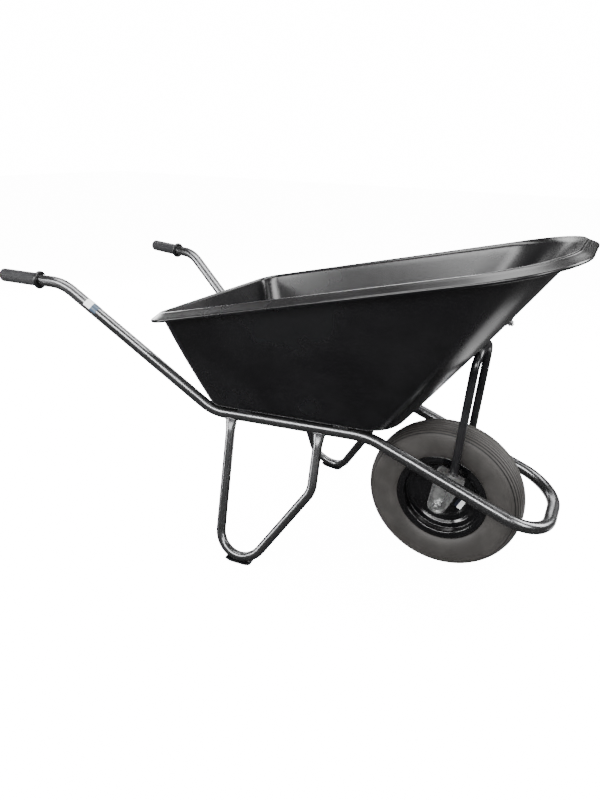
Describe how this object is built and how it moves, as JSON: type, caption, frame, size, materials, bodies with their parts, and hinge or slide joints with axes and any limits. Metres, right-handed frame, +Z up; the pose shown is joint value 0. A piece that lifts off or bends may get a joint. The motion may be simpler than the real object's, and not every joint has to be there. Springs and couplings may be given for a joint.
{
  "type": "wheelbarrow",
  "caption": "Single-wheel wheelbarrow with a bent tube frame, looped legs, a deep flared plastic tray, a front hoop and a wide ribbed tyre.",
  "frame": {"origin": "on the ground, under the middle of the overall length and width", "axes": "+X forwards from the handles to the wheel, +Y to the barrow's left, +Z up"},
  "size_m": [1.4672, 0.6488, 0.853],
  "materials": {
    "frame_paint": "hammered grey, satin",
    "hoop_paint": "near black, satin",
    "zinc": "zinc plated",
    "tray_plastic": "black polyethylene, semi-gloss",
    "grip_rubber": "dark grey, matt",
    "tyre": "dark grey-brown, matt",
    "rim_paint": "gloss black",
    "nylon": "natural nylon"
  },
  "bodies": {
    "frame": {"main_frame_tube": "frame_paint", "cross_strap_rear": "frame_paint", "cross_strap_front": "frame_paint", "grip_left": "grip_rubber", "grip_right": "grip_rubber", "leg_left": "frame_paint", "leg_right": "frame_paint", "foot_plate_left": "frame_paint", "foot_plate_right": "frame_paint", "axle_bracket_left": "zinc", "axle_bracket_right": "zinc", "tray": "tray_plastic", "tray_floor_bolts": "zinc", "tray_floor_washers": "zinc", "tray_floor_nuts": "zinc", "tray_hoop": "hoop_paint", "hoop_tab": "frame_paint", "tray_front_bolt": "zinc", "tray_front_washer": "hoop_paint", "tray_front_nut": "zinc", "axle": "zinc", "axle_sleeve": "zinc", "distance_collars": "zinc", "axle_washers": "zinc", "axle_nuts": "zinc"},
    "wheel": {"tyre": "tyre", "rim_half_left": "rim_paint", "rim_half_right": "rim_paint", "hub_tube": "rim_paint", "bush_left": "nylon", "bush_right": "nylon"}
  },
  "joints": [
    {"name": "wheel_spin", "type": "hinge", "parent": "frame", "child": "wheel", "pos_m": [0.45857, 0, 0.2], "axis": [0, 1, 0], "continuous": true}
  ]
}
